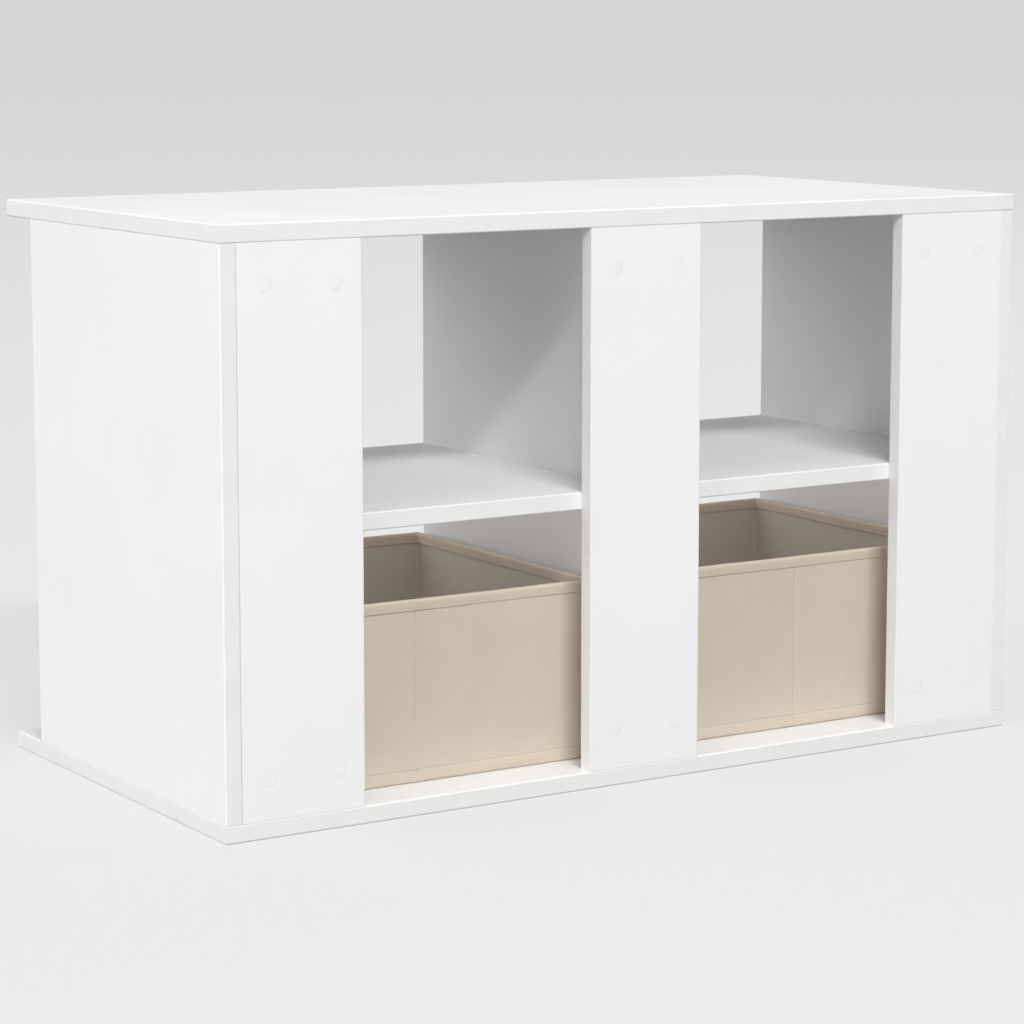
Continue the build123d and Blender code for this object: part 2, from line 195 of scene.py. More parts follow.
def grey(level):
    return (level, level, level)


# ---------------------------------------------------------------- board, band and fitting finishes

BOARD_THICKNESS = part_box("top_panel")[1].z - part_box("top_panel")[0].z
MELAMINE_SKIN = 1.4 * MM    # how deep the white goes in at a raw edge
SKIN_FADE = 0.9             # share of the skin where the chipboard starts to show
CHIPS_PER_METRE = 330.0
DARK_CHIP, MIDDLE_CHIP, LIGHT_CHIP = (0.30, 0.19, 0.10), (0.47, 0.33, 0.19), (0.62, 0.46, 0.29)
CHIP_ROUGHNESS = 0.9
CHIP_RELIEF = 0.3 * MM


def chipboard_share(shader, axis):
    """0 in the melamine's skin and 1 in the chipboard between the board's two faces."""
    through = shader.add("SeparateXYZ", axis, {"Vector": shader.coordinates.outputs["Generated"]})
    from_far_face = shader.math("SUBTRACT", 1.0, through)
    depth = shader.math("MINIMUM", through, from_far_face)
    skin = MELAMINE_SKIN / BOARD_THICKNESS
    return shader.remap(depth, to=(0.0, 1.0), spread=(skin * SKIN_FADE, skin))


def melamine(axis):
    """White pearl-textured melamine, with raw chipboard where an edge or a bore is cut.

    axis is the one that the board is thin along; its generated coordinate runs over the
    board's thickness from 0 to 1, and the chipboard starts a skin's depth from both faces.
    """
    shader = Shader(f"melamine_board_{axis}".lower(), Specular_IOR_Level=0.32)
    core = chipboard_share(shader, axis)

    cloudiness = shader.noise(9.0, detail=3.0)
    speckle = shader.noise(420.0, detail=1.0)
    white = shader.tones(shader.blend(cloudiness, 0.7, speckle), grey(0.872), grey(0.896))
    chips = shader.add("TexVoronoi", "Color", {"Vector": shader.place}, {"Scale": CHIPS_PER_METRE})
    chip_tone = shader.add("SeparateColor", "Red", {"Color": chips})
    chipboard = shader.ramp(chip_tone, (0.0, DARK_CHIP), (1.0, LIGHT_CHIP), (0.5, MIDDLE_CHIP))
    colour = shader.mix(core, white, chipboard)

    smears = shader.noise(5.0, detail=4.0, distortion=0.4)
    satin = shader.remap(smears, to=(0.46, 0.56))
    roughness = shader.math("MAXIMUM", satin, shader.math("MULTIPLY", core, CHIP_ROUGHNESS))

    pearl = shader.noise(900.0, detail=2.5, roughness=0.6)
    ripple = shader.noise(150.0, detail=1.0)
    fine = shader.bump(pearl, distance=0.06 * MM, strength=0.5)
    soft = shader.bump(ripple, distance=0.05 * MM, strength=0.4, over=fine)
    chip_relief = shader.math("MULTIPLY", chip_tone, core)
    rough = shader.bump(chip_relief, distance=CHIP_RELIEF, strength=0.6, over=soft)
    return shader.finish(colour, roughness, rough)


def edge_band():
    """Extruded white plastic: smoother than the boards, with faint clouds and scuffs."""
    shader = Shader("white_edge_band", Specular_IOR_Level=0.38)
    cloudiness = shader.noise(30.0, detail=3.0)
    # The band's white is about 0.94 of the boards' white: painted shade, standing in for the shading that
    # falls on the rounded edges
    colour = shader.tones(cloudiness, grey(0.815), grey(0.840))
    scuffs = shader.noise(60.0, detail=5.0, roughness=0.7)
    roughness = shader.remap(scuffs, to=(0.44, 0.56), spread=(0.35, 0.7))
    grain = shader.noise(700.0)
    return shader.finish(colour, roughness, shader.bump(grain, distance=0.03 * MM, strength=0.4))


def cap_plastic():
    """Moulded white caps with the fine grain of a spark-eroded mould."""
    shader = Shader("moulded_cap", Specular_IOR_Level=0.45)
    mottling = shader.noise(160.0)
    colour = shader.tones(mottling, (0.868, 0.866, 0.858), (0.892, 0.890, 0.882))
    grain = shader.noise(1600.0)
    roughness = shader.remap(grain, to=(0.38, 0.5))
    return shader.finish(colour, roughness, shader.bump(grain, distance=0.03 * MM, strength=0.5))


def metal(name, dark, light, grain_scale, roughness_ends):
    """Cast or plated metal with a fine grain and larger patches."""
    shader = Shader(name, Metallic=1.0)
    patches = shader.noise(grain_scale / 6, detail=3.0)
    colour = shader.tones(patches, dark, light)
    grain = shader.noise(grain_scale)
    roughness = shader.remap(grain, to=roughness_ends)
    return shader.finish(colour, roughness, shader.bump(grain, distance=0.05 * MM, strength=0.5))


def plated_steel(name):
    return metal(name, grey(0.55), grey(0.68), 1400.0, (0.22, 0.34))


def beech():
    """Turned beech: short flecks in pale wood."""
    shader = Shader("turned_beech", Specular_IOR_Level=0.3)
    grain = shader.noise(90.0, detail=4.0, place=shader.stretch((8.0, 8.0, 1.0)))
    colour = shader.tones(grain, (0.50, 0.33, 0.19), (0.70, 0.52, 0.34))
    flecks = shader.noise(500.0, detail=1.0, place=shader.stretch((6.0, 6.0, 1.0)))
    roughness = shader.remap(flecks, to=(0.5, 0.7))
    return shader.finish(colour, roughness, shader.bump(flecks, distance=0.1 * MM, strength=0.5))


# ---------------------------------------------------------------- cloth, card and thread

CLOTH_COLOUR = (0.625, 0.540, 0.446)
LINING_COLOUR = (0.590, 0.528, 0.465)
CLOTH_WEAR = 0.05           # how far fibres and blotches lighten and darken the cloth
FIBRE_TURNS = (0.2, 1.25, 2.3)          # of the three layers of fibres, in radians
FIBRE_TILT = (1.0, 0.7, 1.3)            # share of its turn that a layer makes about each axis
FIBRE_STRETCH = (1.0, 1.0, 6.0)
DOT_PITCH = 1.3 * MM        # between the bonded dots of the non-woven cloth
DOT_LEAN = 0.5              # how far the rows of dots lean
DOT_EDGE = 0.45             # higher makes smaller dots
DOT_TINT = 0.35             # how strongly the dots show
DOT_SHADE = 0.86            # of the cloth's colour, where the dots are
THREAD_SHADES = (0.86, 1.06)


def scaled(values, factor):
    return tuple(value * factor for value in values)


def dots(shader):
    """The dots where a non-woven cloth is bonded, in rows over walls and floor alike."""
    x, y, z = (
        shader.add("SeparateXYZ", axis, {"Vector": shader.place}) for axis in ("X", "Y", "Z")
    )
    turns = 2 * math.pi / DOT_PITCH
    along = shader.math("SINE", shader.math("MULTIPLY", shader.math("ADD", x, y), turns))
    lean = shader.math("ADD", z, shader.math("MULTIPLY", shader.math("SUBTRACT", x, y), DOT_LEAN))
    across = shader.math("SINE", shader.math("MULTIPLY", lean, turns))
    return shader.math("GREATER_THAN", shader.math("MULTIPLY", along, across), DOT_EDGE)


def tangled_fibres(shader):
    """Three layers of fibres, each drawn out along its own direction."""
    fibres = None
    for turn in FIBRE_TURNS:
        place = shader.stretch(FIBRE_STRETCH, scaled(FIBRE_TILT, turn))
        layer = shader.noise(620.0, place=place)
        fibres = layer if fibres is None else shader.math("MAXIMUM", fibres, layer)
    return fibres


def cloth(name, colour):
    """Non-woven polypropylene: tangled fibres, bonded dots, a dusty sheen and soft blotches."""
    shader = Shader(name, Sheen_Weight=0.12, Sheen_Roughness=0.5, Specular_IOR_Level=0.2)
    fibres = tangled_fibres(shader)
    blotches = shader.noise(26.0, detail=4.0, roughness=0.6)
    bonded = dots(shader)
    shade = shader.blend(fibres, 0.6, blotches)
    dark, light = scaled(colour, 1 - CLOTH_WEAR), scaled(colour, 1 + CLOTH_WEAR)
    base = shader.tones(shade, dark, light, spread=(0.35, 0.72))
    toned = shader.mix(shader.math("MULTIPLY", bonded, DOT_TINT), base, scaled(colour, DOT_SHADE))
    roughness = shader.remap(fibres, to=(0.82, 0.97), spread=(0.4, 0.8))
    fuzz = shader.bump(fibres, distance=0.12 * MM, strength=0.6)
    pressed = shader.math("SUBTRACT", 1.0, bonded)
    normal = shader.bump(pressed, distance=0.05 * MM, strength=0.5, over=fuzz)
    return shader.finish(toned, roughness, normal)


def card():
    """Grey-brown solid board with short pulp fibres."""
    shader = Shader("pulp_board", Specular_IOR_Level=0.2)
    pulp = shader.noise(300.0, detail=4.0, place=shader.stretch((1.0, 1.0, 3.0)))
    colour = shader.tones(pulp, (0.36, 0.30, 0.23), (0.50, 0.43, 0.34))
    roughness = shader.remap(pulp, to=(0.8, 0.95))
    return shader.finish(colour, roughness, shader.bump(pulp, distance=0.08 * MM, strength=0.5))


def thread():
    """Spun polyester thread, twisted."""
    shader = Shader("sewing_thread", Sheen_Weight=0.2, Specular_IOR_Level=0.3)
    twist = shader.noise(1500.0, detail=1.0)
    dark, light = (scaled(CLOTH_COLOUR, shade) for shade in THREAD_SHADES)
    colour = shader.tones(twist, dark, light)
    roughness = shader.remap(twist, to=(0.6, 0.8))
    return shader.finish(colour, roughness, shader.bump(twist, distance=0.05 * MM, strength=0.6))


def thin_axis(name):
    """The axis that a board is thin along."""
    low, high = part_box(name)
    size = high - low
    return "XYZ"[min(range(3), key=lambda axis: size[axis])]


def paint_cad_nodes():
    """Each CAD node that shows gets its finish; boards by the axis that they are thin along."""
    boards = {axis: melamine(axis) for axis in "XYZ"}
    band = edge_band()
    finishes = {
        "cam_cover_caps": cap_plastic(),
        "cam_locks": metal("cast_zinc", grey(0.40), grey(0.55), 900.0, (0.35, 0.5)),
        "cam_bolts": plated_steel("plated_steel"),
        "double_ended_cam_bolts": plated_steel("plated_steel_long"),
        "wooden_dowels": beech(),
        "left_basket_wall_boards": card(),
        "right_basket_wall_boards": card(),
    }
    for name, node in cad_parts.items():
        if name in finishes:
            finish = finishes[name]
        elif name.endswith("_edging"):
            finish = band
        else:
            finish = boards[thin_axis(name)]
        for material_slot in node.material_slots:
            material_slot.material = finish


# ---------------------------------------------------------------- walking round a basket

ARC_STEPS = 5
OUTER_CORNER = 3.0 * MM
TIGHTEST_CORNER = 1.2 * MM
ARC_LENGTH = OUTER_CORNER * math.pi / 2
SEAM_CLEARING = 1.3         # of the outermost fine column, where the even columns start again


class Outline:
    """The rim's outline seen from above: four straight runs joined by four corner arcs."""

    # Each run: the outward normal of its straight side, and the direction it is walked in
    SIDES = (((0, -1), (1, 0)), ((1, 0), (0, 1)), ((0, 1), (-1, 0)), ((-1, 0), (0, -1)))

    def __init__(self, low, high):
        self.middle = ((low.x + high.x) / 2, (low.y + high.y) / 2)
        self.half = ((high.x - low.x) / 2, (high.y - low.y) / 2)

    def run_length(self, side, inset=0.0):
        along = self.SIDES[side][1]
        half = self.half[0] if along[0] else self.half[1]
        return 2 * (half - inset - max(OUTER_CORNER - inset, TIGHTEST_CORNER))

    def point(self, side, share, inset):
        """The place at a share of a straight run (0 to 1) or, past 1, of the arc after it."""
        normal, along = self.SIDES[side]
        radius = max(OUTER_CORNER - inset, TIGHTEST_CORNER)
        out = (self.half[0] if normal[0] else self.half[1]) - inset
        reach = self.run_length(side, inset) / 2
        if share <= 1:
            step = (2 * share - 1) * reach
            x, y = (self.middle[i] + normal[i] * out + along[i] * step for i in (0, 1))
            return (x, y), normal
        turn = (share - 1) * math.pi / 2
        outward = tuple(normal[i] * math.cos(turn) + along[i] * math.sin(turn) for i in (0, 1))
        x, y = (
            self.middle[i] + normal[i] * (out - radius) + along[i] * reach + outward[i] * radius
            for i in (0, 1)
        )
        return (x, y), outward

    def columns(self, pitch, fine=()):
        """(side, share, distance walked, distance from the middle of a front or back run).

        fine holds extra distances on both sides of the middle seams of front and back.
        """
        found, walked = [], 0.0
        for side in range(4):
            is_long = side % 2 == 0
            length = self.run_length(side)
            steps = round(length / pitch)
            marks = [length * step / steps for step in range(steps + 1)]
            if fine and is_long:
                clear = max(fine) * SEAM_CLEARING
                marks = [mark for mark in marks if abs(mark - length / 2) > clear]
                marks += [length / 2 + sign * mark for mark in fine for sign in (-1, 1)]
                marks = sorted(set(marks))
            for mark in marks:
                from_seam = mark - length / 2 if is_long else length
                found.append((side, mark / length, walked + mark, from_seam))
            walked += length
            for step in range(1, ARC_STEPS):
                share = step / ARC_STEPS
                found.append((side, 1 + share, walked + ARC_LENGTH * share, length))
            walked += ARC_LENGTH
        return found


def sweep(name, outline, columns, profile, closed, cap=False):
    """A mesh of one profile for each column: profile(column) gives (inset, outward, height)."""
    rings = [profile(column) for column in columns]
    rows = len(rings[0])
    verts, faces = [], []
    for column, ring in zip(columns, rings):
        for inset, outward, height in ring:
            (x, y), normal = outline.point(column[0], column[1], inset)
            verts.append((x + normal[0] * outward, y + normal[1] * outward, height))
    count = len(columns)
    for index in range(count):
        here, there = index * rows, ((index + 1) % count) * rows
        for row in range(rows if closed else rows - 1):
            above = (row + 1) % rows
            faces.append((here + row, there + row, there + above, here + above))
    if cap:
        faces.append([index * rows for index in reversed(range(count))])
    return mesh_object(name, verts, faces)


def object_from(shaped, mesh, smooth=True):
    """An object named like the mesh, which takes the bmesh with all faces turned outwards."""
    bmesh.ops.recalc_face_normals(shaped, faces=shaped.faces)
    shaped.to_mesh(mesh)
    shaped.free()
    for polygon in mesh.polygons:
        polygon.use_smooth = smooth
    made = bpy.data.objects.new(mesh.name, mesh)
    bpy.context.scene.collection.objects.link(made)
    return made


def mesh_object(name, verts, faces, smooth=True):
    mesh = bpy.data.meshes.new(name)
    mesh.from_pydata(verts, [], faces)
    mesh.validate()
    shaped = bmesh.new()
    shaped.from_mesh(mesh)
    return object_from(shaped, mesh, smooth)


CLOTH_THICKNESS = 0.5 * MM


def thicken(piece, offset):
    """Gives a single-walled piece the cloth's thickness, and keeps the result as its mesh."""
    modifier = piece.modifiers.new("thickness", "SOLIDIFY")
    modifier.thickness = CLOTH_THICKNESS
    modifier.offset = offset
    bpy.context.view_layer.update()
    evaluated = piece.evaluated_get(bpy.context.evaluated_depsgraph_get())
    thick = bpy.data.meshes.new_from_object(evaluated)
    piece.modifiers.clear()
    piece.data = thick


# ---------------------------------------------------------------- how basket cloth lies


class Ripple:
    """Smooth unevenness of one amplitude and wavelength, over the unrolled wall."""

    def __init__(self, amplitude, wavelength, shift):
        self.amplitude = amplitude
        self.wavelength = wavelength
        self.shift = shift

    def at(self, walked, height, seed):
        place = Vector((walked / self.wavelength, height / self.wavelength, seed + self.shift))
        return self.amplitude * noise.noise(place)


COVER_BROAD = Ripple(0.35 * MM, 70 * MM, 0)
COVER_FINE = Ripple(0.12 * MM, 14 * MM, 3)
COVER_PUCKER = Ripple(0.16 * MM, 5 * MM, 5)
LINING_BROAD = Ripple(0.4 * MM, 60 * MM, 11)
LINING_FINE = Ripple(0.14 * MM, 13 * MM, 13)
RIM_BROAD = Ripple(0.45 * MM, 85 * MM, 21)
RIM_FINE = Ripple(0.16 * MM, 19 * MM, 23)
HEM_RIPPLE = Ripple(0.3 * MM, 30 * MM, 25)
BINDING_RIPPLE = Ripple(0.12 * MM, 11 * MM, 27)
BASE_RIPPLE = Ripple(0.35 * MM, 70 * MM, 31)

COVER_SLACK = 0.9 * MM      # how far the cloth stands out in the middle of a panel
LINING_SLACK = 0.8 * MM
SLACK_FULLNESS = 0.6        # lower fills a panel out more evenly
BROAD_FULLNESS = 0.5

SEAM_WIDTH = 0.7 * MM       # of the groove that a seam draws the cloth into
UPRIGHT_PINCH = 0.55 * MM   # and how deep it is
BOTTOM_PINCH = 0.45 * MM
LINING_PINCH = 0.35 * MM
BOTTOM_PUCKER_REACH = 4 * MM            # how far from a seam the cloth puckers
RIM_PUCKER_REACH = 5 * MM


def groove(distance, width):
    return math.exp(-((distance / width) ** 2))


def fading(distance, reach):
    return math.exp(-abs(distance) / reach)


def slackness(slack, broad, fine, panel, rise, walked, height, seed):
    """How far cloth stands off its board; panel and rise place it on a panel of the wall."""
    upright = math.sin(math.pi * min(max(rise, 0), 1))
    off = slack * panel ** SLACK_FULLNESS * upright ** SLACK_FULLNESS
    off += panel ** BROAD_FULLNESS * broad.at(walked, height, seed)
    return off + fine.at(walked, height, seed)


# ---------------------------------------------------------------- basket pieces

COLUMN_PITCH = 2.6 * MM
ROW_PITCH = 5.0 * MM
SEAM_STEPS = (0.0, 0.45 * MM, 1.0 * MM, 1.9 * MM, 3.2 * MM)
SEAM_ROWS = 3.0 * MM        # how far from the bottom seam the rows are close together
COVER_INSET = 0.7 * MM      # of the outer cloth behind the binding's face
LINING_THICKNESS = 1.0 * MM             # of the CAD lining, whose inner face shows
TOP_GAP = 0.4 * MM          # between the cloth's edge and the inside of the fold
LINING_LIFT = 0.2 * MM
BOTTOM_SEAM = 11.0 * MM     # above the basket's bottom
BOTTOM_ROUND = 1.8 * MM
BOTTOM_STEPS = 4
RIM_SEAM = 9.0 * MM         # below the cover's top
BINDING_DROP = 9.2 * MM


def wall_rows(low, high, seam=None):
    """Levels from low to high, close together round the bottom seam."""
    steps = round((high - low) / ROW_PITCH)
    rows = [low + (high - low) * step / steps for step in range(steps + 1)]
    if seam is not None:
        rows = [row for row in rows if abs(row - seam) > SEAM_ROWS]
        close = [mark for mark in SEAM_STEPS if mark < SEAM_ROWS]
        rows += [seam + side * mark for mark in close for side in (-1, 1)]
    return sorted(set(rows))


def rounded_bottom(bottom):
    """The arc from the cover's floor up to where its wall starts."""
    arc = []
    for step in range(BOTTOM_STEPS):
        turn = math.pi / 2 * step / BOTTOM_STEPS
        inset = COVER_INSET + BOTTOM_ROUND * (1 - math.sin(turn))
        arc.append((inset, 0.0, bottom + BOTTOM_ROUND * (1 - math.cos(turn))))
    return arc


def make_cover(side, outline, seed):
    """The outer cloth: four walls and a floor, drawn in at the seams and slack between them."""
    low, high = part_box(f"{side}_basket_cover")
    bottom, top = low.z, high.z - TOP_GAP
    seam = bottom + BOTTOM_SEAM
    rows = wall_rows(bottom + BOTTOM_ROUND, top, seam)

    def profile(column):
        run, share, walked, from_seam = column
        panels = 2 if run % 2 == 0 else 1
        panel = abs(math.sin(panels * math.pi * min(share, 1.0)))
        ring = rounded_bottom(bottom)
        for height in rows:
            rise = (height - bottom) / (top - bottom)
            off = slackness(COVER_SLACK, COVER_BROAD, COVER_FINE, panel, rise, walked, height, seed)
            near_bottom = fading(height - seam, BOTTOM_PUCKER_REACH)
            near_rim = fading(top - RIM_SEAM - height, RIM_PUCKER_REACH)
            off += (near_bottom + near_rim) * COVER_PUCKER.at(walked, 0, seed)
            off -= UPRIGHT_PINCH * groove(from_seam, SEAM_WIDTH)
            off -= BOTTOM_PINCH * groove(height - seam, SEAM_WIDTH)
            ring.append((COVER_INSET, off, height))
        return ring

    columns = outline.columns(COLUMN_PITCH, SEAM_STEPS)
    cover = sweep(f"{side}_basket_outer_cloth", outline, columns, profile, closed=False, cap=True)
    thicken(cover, offset=-1.0)
    return cover


def make_lining(side, outline, seed):
    """The inner cloth of the walls, with a seam at the middle of each long wall."""
    low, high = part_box(f"{side}_basket_lining")
    rim_low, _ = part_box(f"{side}_basket_rim_binding")
    bottom, top = low.z, high.z - TOP_GAP
    inner_face = low.x - rim_low.x + LINING_THICKNESS
    rows = wall_rows(bottom + LINING_LIFT, top)

    def profile(column):
        _, share, walked, from_seam = column
        panel = abs(math.sin(math.pi * min(share, 1.0)))
        ring = []
        for height in rows:
            rise = (height - bottom) / (top - bottom)
            off = slackness(LINING_SLACK, LINING_BROAD, LINING_FINE, panel, rise, walked, height, seed)
            off -= LINING_PINCH * groove(from_seam, SEAM_WIDTH)
            ring.append((inner_face, -off, height))
        return ring

    columns = outline.columns(COLUMN_PITCH, SEAM_STEPS)
    lining = sweep(f"{side}_basket_inner_cloth", outline, columns, profile, closed=False)
    thicken(lining, offset=1.0)
    return lining


# ---------------------------------------------------------------- rim binding and stitching

STITCH_PITCH = 3.2 * MM
STITCH_LENGTH = 2.3 * MM
STITCH_RADIUS = 0.24 * MM
STITCH_SIDES = 6
STITCH_SHAPE = ((0.0, 0.35), (0.12, 0.8), (0.5, 1.0), (0.88, 0.8), (1.0, 0.35))    # (along, fullness)
STITCH_RISE = 1.7 * MM      # stitches above the binding's lower edge
STITCH_PROUD = 0.02 * MM    # of the binding's face
STITCH_SUNK = 0.1 * MM      # into the bottom seam's groove
STITCH_DENT = 0.22 * MM     # how deep a stitch pulls the binding in
STITCH_DENT_WIDTH = 0.9 * MM
BINDING_PUFF = 0.1 * MM     # how far the binding stands off the walls between stitches
BINDING_CROWN = 0.1         # share of the binding's drop that keeps to the rim's rounding
BINDING_FACE = 0.4 * MM     # what lies less deep than this belongs to the binding's two faces
BINDING_WIDTH = 6.0 * MM    # over the rim, from face to face

# Half of the binding's cross-section: (inset from its face, height from the rim) in millimetres.
# Up the face to the rim, and up the inside of the fold; the other half mirrors both.
BINDING_OUTSIDE = (
    (0.12, -9.2), (0.0, -8.9), (-0.05, -8.2), (0.0, -7.5), (-0.05, -6.2),
    (-0.05, -4.5), (-0.02, -2.8), (0.05, -1.5), (0.5, -0.5), (1.5, -0.08),
)
BINDING_INSIDE = ((0.45, -9.2), (0.58, -8.8), (0.58, -1.8), (1.1, -1.1))
RIM_TOP = 0.0
FOLD_TOP = -0.8


def binding_section():
    """Up the outside, over the rim, down the inside and back through the fold, in metres."""
    outside = [(inset * MM, height * MM) for inset, height in BINDING_OUTSIDE]
    inside = [(inset * MM, height * MM) for inset, height in BINDING_INSIDE]
    far_outside = [(BINDING_WIDTH - inset, height) for inset, height in reversed(outside)]
    far_inside = [(BINDING_WIDTH - inset, height) for inset, height in inside]
    rim, fold = ((BINDING_WIDTH / 2, height * MM) for height in (RIM_TOP, FOLD_TOP))
    return [*outside, rim, *far_outside, *far_inside, fold, *reversed(inside)]


def rim_rise(walked, seed):
    """The rim's gentle ups and downs, in metres."""
    return RIM_BROAD.at(walked, 0, seed) + RIM_FINE.at(walked, 0, seed)


def make_binding(side, outline, seed):
    """A folded strip over the rim, puckered between its stitches."""
    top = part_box(f"{side}_basket_rim_binding")[1].z
    section = binding_section()

    def profile(column):
        walked = column[2]
        lift = rim_rise(walked, seed)
        hem = HEM_RIPPLE.at(walked, 0, seed)
        pull = 0.5 + 0.5 * math.cos(2 * math.pi * walked / STITCH_PITCH)
        ring = []
        for inset, height in section:
            share = -height / BINDING_DROP
            at_stitch = groove(height + BINDING_DROP - STITCH_RISE, STITCH_DENT_WIDTH)
            swell = BINDING_RIPPLE.at(walked, height, seed) + BINDING_PUFF - STITCH_DENT * at_stitch * pull
            facing = 1 if inset < BINDING_WIDTH / 2 else -1
            in_face = min(inset, BINDING_WIDTH - inset) < BINDING_FACE
            outward = facing * swell if in_face and share > BINDING_CROWN else 0.0
            ring.append((inset, outward, top + height + lift + hem * share))
        return ring

    columns = outline.columns(STITCH_PITCH / 2)
    return sweep(f"{side}_basket_binding", outline, columns, profile, closed=True)


def add_stitch(verts, faces, start, end):
    """A short round-ended run of thread from start to end."""
    along = (end - start).normalized()
    side = along.orthogonal().normalized()
    other = along.cross(side)
    base = len(verts)
    for share, fullness in STITCH_SHAPE:
        for index in range(STITCH_SIDES):
            turn = 2 * math.pi * index / STITCH_SIDES
            out = (side * math.cos(turn) + other * math.sin(turn)) * STITCH_RADIUS * fullness
            verts.append(start + (end - start) * share + out)
    last = len(STITCH_SHAPE) - 1
    for ring in range(last):
        for index in range(STITCH_SIDES):
            here = base + ring * STITCH_SIDES + index
            there = base + ring * STITCH_SIDES + (index + 1) % STITCH_SIDES
            faces.append((here, there, there + STITCH_SIDES, here + STITCH_SIDES))
    faces.append([base + index for index in reversed(range(STITCH_SIDES))])
    faces.append([base + last * STITCH_SIDES + index for index in range(STITCH_SIDES)])


def stitch_ends(outline, inset):
    """(run, share, distance walked) of both ends of each stitch in a line round the basket."""
    walked = 0.0
    for run in range(4):
        length = outline.run_length(run, inset)
        count = int(length / STITCH_PITCH)
        for index in range(count):
            middle = (index + 0.5) * length / count
            marks = (middle - STITCH_LENGTH / 2, middle + STITCH_LENGTH / 2)
            yield [(run, mark / length, walked + mark) for mark in marks]
        walked += length + ARC_LENGTH


def make_stitching(side, outline, seed):
    """Lockstitches along the binding, outside and inside, and round the bottom seam."""
    at_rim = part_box(f"{side}_basket_rim_binding")[1].z - BINDING_DROP + STITCH_RISE
    at_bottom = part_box(f"{side}_basket_cover")[0].z + BOTTOM_SEAM
    # Each line of stitches: its inset, how far out it lies, its level, and whether it follows the rim
    lines = (
        (0.0, STITCH_PROUD, at_rim, True),
        (BINDING_WIDTH, -STITCH_PROUD, at_rim, True),
        (COVER_INSET, -STITCH_SUNK, at_bottom, False),
    )
    verts, faces = [], []
    for inset, outward, level, follows_rim in lines:
        for ends in stitch_ends(outline, inset):
            places = []
            for run, share, walked in ends:
                (x, y), normal = outline.point(run, share, inset)
                lift = rim_rise(walked, seed) if follows_rim else 0.0
                places.append(Vector((x + normal[0] * outward, y + normal[1] * outward, level + lift)))
            add_stitch(verts, faces, *places)
    return mesh_object(f"{side}_basket_stitching", verts, faces)


# ---------------------------------------------------------------- base board, and both baskets

BASE_EDGE = 1.1 * MM        # radius of the wrapped board's soft edges
BASE_EDGE_STEPS = 3
BASE_GRID = 12.0 * MM       # between the cuts that let the top's cloth rise and fall
BASE_TOP = 0.1 * MM         # depth of what counts as its top
BINDING_TONE = 0.985
CREASE_SEEDS = {"left": 1.5, "right": 47.5}     # so that the two baskets aren't creased alike


def cut_into_grid(shaped, low, size):
    """Cuts the board across x and y, so that its top can be uneven."""
    for axis, unit in ((0, Vector((1, 0, 0))), (1, Vector((0, 1, 0)))):
        for step in range(1, int(size[axis] / BASE_GRID)):
            place = low + unit * (step * BASE_GRID)
            everything = list(shaped.verts) + list(shaped.edges) + list(shaped.faces)
            bmesh.ops.bisect_plane(shaped, geom=everything, plane_co=place, plane_no=unit)


def make_base_board(side, seed):
    """The loose base board, wrapped in cloth: soft edges and a slightly uneven top."""
    low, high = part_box(f"{side}_basket_base_board")
    size, middle = high - low, (low + high) / 2
    shaped = bmesh.new()
    bmesh.ops.create_cube(shaped, size=1.0)
    for vert in shaped.verts:
        vert.co = vert.co * size + middle
    edges = list(shaped.edges)
    bmesh.ops.bevel(shaped, geom=edges, offset=BASE_EDGE, segments=BASE_EDGE_STEPS, affect="EDGES")
    cut_into_grid(shaped, low, size)
    for vert in shaped.verts:
        if vert.co.z > high.z - BASE_TOP:
            vert.co.z += BASE_RIPPLE.at(vert.co.x, vert.co.y, seed)
    return object_from(shaped, bpy.data.meshes.new(f"{side}_basket_wrapped_base"))


def make_baskets():
    outer = cloth("basket_outer_cloth", CLOTH_COLOUR)
    bound = cloth("basket_binding_cloth", scaled(CLOTH_COLOUR, BINDING_TONE))
    inner = cloth("basket_inner_cloth", LINING_COLOUR)
    sewing = thread()
    for side, seed in CREASE_SEEDS.items():
        outline = Outline(*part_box(f"{side}_basket_rim_binding"))
        for piece, finish, slot, node in (
            (make_cover(side, outline, seed), outer, "basket_cloth", "cover"),
            (make_lining(side, outline, seed), inner, "basket_lining_cloth", "lining"),
            (make_binding(side, outline, seed), bound, "basket_binding_cloth", "rim_binding"),
            (make_base_board(side, seed), inner, "basket_base_board", "base_board"),
            (make_stitching(side, outline, seed), sewing, "basket_binding_cloth", None),
        ):
            piece.data.materials.clear()
            piece.data.materials.append(finish)
            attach(piece, f"{side}_basket")
            if node:
                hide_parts(f"{side}_basket_{node}")


# ---------------------------------------------------------------- floor and light

FLOOR_RADIUS = 90.0
FLOOR_CORNERS = 64
FLOOR_DROP = 0.02 * MM                  # below the cabinet's underside
FLOOR_COLOUR = (0.25, 0.25, 0.25, 1)    # grey enough not to light the cabinet from below
FLOOR_GLOW = 0.53                       # lifts it to a pale grey, for the camera only
AMBIENT = 0.09                          # white light from all round
AMBIENT_FROM_LEFT = 0.45                # and more of it from these sides
AMBIENT_FROM_ABOVE = 0.55
BACKDROP = 0.67                         # how light the camera sees what is behind the floor
# Each soft box: the direction that it shines in, its distance from the cabinet's middle, size and
# power. The key box is long and low, to the front left, which softens upright shadow edges most.
SOFTBOXES = {
    "key_box": (Vector((0.212, 0.762, -0.613)), 14.0, (6.8, 1.3), 1450.0),
    "left_box": (Vector((1, 0.02, -0.08)), 8.0, (8.0, 6.0), 480.0),
    "right_box": (Vector((-1, 0.02, -0.25)), 8.0, (6.0, 5.0), 220.0),
}
BAY_LAMP_POWER = 0.18       # in each bay under a shelf, whose walls shade it from the rest
BAY_LAMP_DROP = 2 * MM
BAY_LAMP_SPAN = (0.96, 0.8)             # of the shelf's width and depth
DOWN = Vector((0, 0, -1))


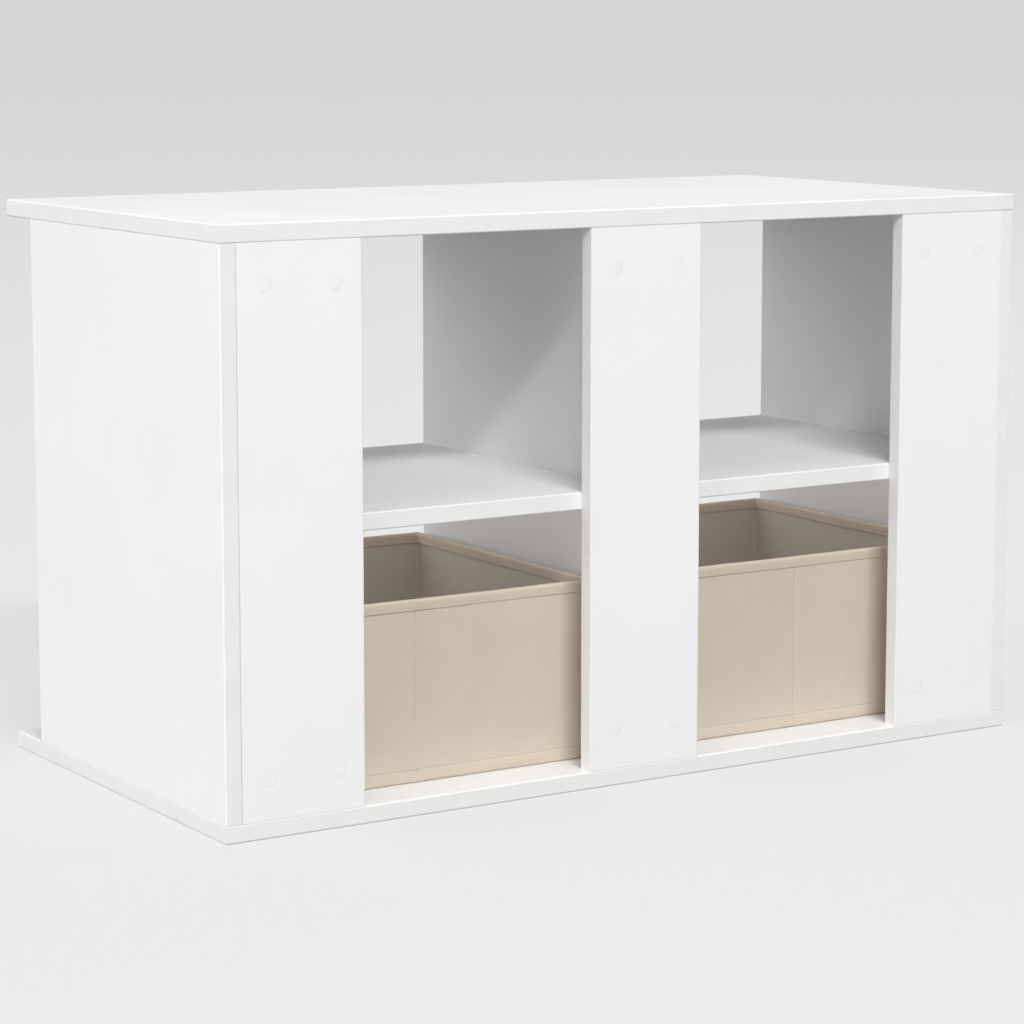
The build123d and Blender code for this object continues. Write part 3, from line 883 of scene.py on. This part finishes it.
def make_floor():
    """A plain pale floor; the camera sees it lighter than the cabinet does."""
    verts = []
    for index in range(FLOOR_CORNERS):
        turn = 2 * math.pi * index / FLOOR_CORNERS
        verts.append((FLOOR_RADIUS * math.cos(turn), FLOOR_RADIUS * math.sin(turn), 0))
    floor = mesh_object("floor", verts, [range(FLOOR_CORNERS)], smooth=False)
    floor.location.z = -FLOOR_DROP
    shader = Shader("pale_floor", Base_Color=FLOOR_COLOUR, Roughness=0.9, Specular_IOR_Level=0.0)
    shader.surface.inputs["Emission Color"].default_value = WHITE
    glow = shader.math("MULTIPLY", shader.seen(), FLOOR_GLOW)
    shader.tree.links.new(glow, shader.surface.inputs["Emission Strength"])
    floor.data.materials.append(shader.material)


def make_world():
    """Soft light from all round, most of it from the left and above, and a pale backdrop."""
    world = bpy.data.worlds.new("studio")
    world.use_nodes = True
    nodes = Nodes(world.node_tree)
    direction = nodes.add("TexCoord", "Generated")
    x, z = (nodes.add("SeparateXYZ", axis, {"Vector": direction}) for axis in ("X", "Z"))
    left = nodes.math("MAXIMUM", nodes.math("MULTIPLY", x, -AMBIENT_FROM_LEFT), 0.0)
    above = nodes.math("MAXIMUM", nodes.math("MULTIPLY", z, AMBIENT_FROM_ABOVE), 0.0)
    light = nodes.math("ADD", nodes.math("ADD", left, above), AMBIENT)
    backdrop = nodes.math("MULTIPLY", nodes.seen(), BACKDROP)
    background = world.node_tree.nodes["Background"]
    background.inputs["Color"].default_value = WHITE
    world.node_tree.links.new(nodes.math("MAXIMUM", light, backdrop), background.inputs["Strength"])
    bpy.context.scene.world = world


def make_lamp(name, location, direction, size, power):
    """A rectangular soft lamp that shines along direction."""
    data = bpy.data.lights.new(name, "AREA")
    data.shape = "RECTANGLE"
    data.size, data.size_y = size
    data.energy = power
    lamp = bpy.data.objects.new(name, data)
    bpy.context.scene.collection.objects.link(lamp)
    lamp.location = location
    lamp.rotation_euler = direction.to_track_quat("-Z", "Y").to_euler()
    return lamp


def make_bay_lamp(shelf):
    """A weak lamp about the size of the shelf, just under it, that no picture shows."""
    low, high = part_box(shelf)
    location = Vector(((low.x + high.x) / 2, (low.y + high.y) / 2, low.z - BAY_LAMP_DROP))
    size = (BAY_LAMP_SPAN[0] * (high.x - low.x), BAY_LAMP_SPAN[1] * (high.y - low.y))
    lamp = make_lamp(f"{shelf}_lamp", location, DOWN, size, BAY_LAMP_POWER)
    lamp.visible_camera = False
    lamp.visible_glossy = False


def light_scene():
    make_floor()
    make_world()
    for name, (direction, distance, size, power) in SOFTBOXES.items():
        make_lamp(name, CENTRE - direction.normalized() * distance, direction, size, power)
    for shelf in ("left_shelf", "right_shelf"):
        make_bay_lamp(shelf)
    bpy.context.scene.view_settings.view_transform = "Standard"


make_camera()
paint_cad_nodes()
make_baskets()
light_scene()
